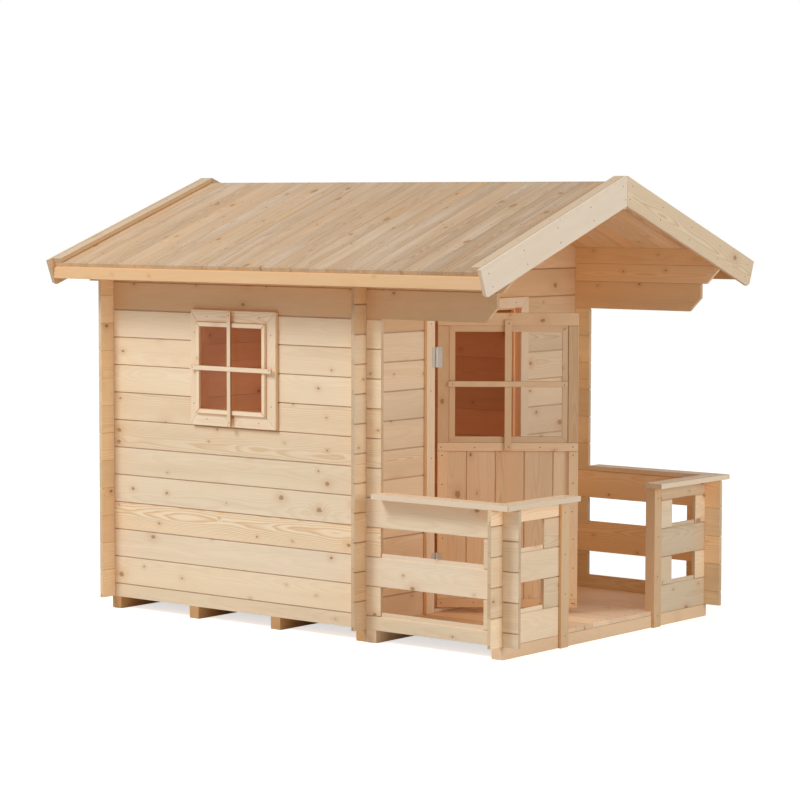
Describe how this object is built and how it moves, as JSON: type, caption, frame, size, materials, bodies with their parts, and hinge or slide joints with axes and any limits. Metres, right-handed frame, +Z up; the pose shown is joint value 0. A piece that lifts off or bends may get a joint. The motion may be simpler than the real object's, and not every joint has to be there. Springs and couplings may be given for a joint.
{
  "type": "playhouse",
  "caption": "Log-style wooden playhouse with a gabled roof, a glazed hinged door, a barred side window and a railed front porch.",
  "frame": {"origin": "on the ground, at the centre of the roof's outline seen from above", "axes": "+Z up, -Y out of the porch and the door, -X towards the wall with the window"},
  "size_m": [1.86, 2.243, 1.7933],
  "materials": {
    "wall_pine": "planed, untreated",
    "trim_pine": "planed, untreated",
    "roof_pine": "planed, untreated",
    "floor_pine": "planed, untreated",
    "zinc": "zinc plated",
    "clear_pane": "clear sheet"
  },
  "bodies": {
    "house": {"back_gable_boards": "wall_pine", "back_wall_boards": "wall_pine", "cabin_floor_boards": "floor_pine", "cabin_joists": "floor_pine", "door_casing": "trim_pine", "door_inner_casing": "trim_pine", "door_lining": "trim_pine", "door_sill": "trim_pine", "eave_fascias": "trim_pine", "front_gable_boards": "wall_pine", "front_head_boards": "wall_pine", "front_left_bargeboard": "trim_pine", "front_left_boards": "wall_pine", "front_right_bargeboard": "trim_pine", "front_right_boards": "wall_pine", "hinge_frame_plates": "zinc", "hinge_pins": "zinc", "left_base_board": "wall_pine", "left_bracket_board": "wall_pine", "left_front_cap": "trim_pine", "left_post": "trim_pine", "left_rail_boards": "wall_pine", "left_return_boards": "wall_pine", "left_roof_boards": "roof_pine", "left_side_cap": "trim_pine", "left_verge_battens": "trim_pine", "left_wall_boards": "wall_pine", "left_wall_plates": "wall_pine", "left_window_boards": "wall_pine", "porch_floor_boards": "floor_pine", "porch_joists": "floor_pine", "rear_left_bargeboard": "trim_pine", "rear_right_bargeboard": "trim_pine", "return_stubs": "wall_pine", "ridge_beam": "wall_pine", "right_base_board": "wall_pine", "right_bracket_board": "wall_pine", "right_front_cap": "trim_pine", "right_post": "trim_pine", "right_rail_boards": "wall_pine", "right_return_boards": "wall_pine", "right_roof_boards": "roof_pine", "right_side_cap": "trim_pine", "right_verge_battens": "trim_pine", "right_wall_boards": "wall_pine", "right_wall_plates": "wall_pine", "side_stubs": "wall_pine", "window_bars": "trim_pine", "window_casing": "trim_pine", "window_frame": "trim_pine", "window_inner_casing": "trim_pine", "window_pane": "clear_pane"},
    "door": {"door_bars": "trim_pine", "door_glazing_beads": "trim_pine", "door_lower_frame": "trim_pine", "door_pane": "clear_pane", "door_planks": "wall_pine", "door_top_rail": "trim_pine", "door_upper_stiles": "trim_pine", "hinge_door_plates": "zinc"}
  },
  "joints": [
    {"name": "door_hinge", "type": "hinge", "parent": "house", "child": "door", "pos_m": [-0.28975, -0.4155, 0.65], "axis": [0, 0, -1], "range_deg": [-52, 73]}
  ]
}
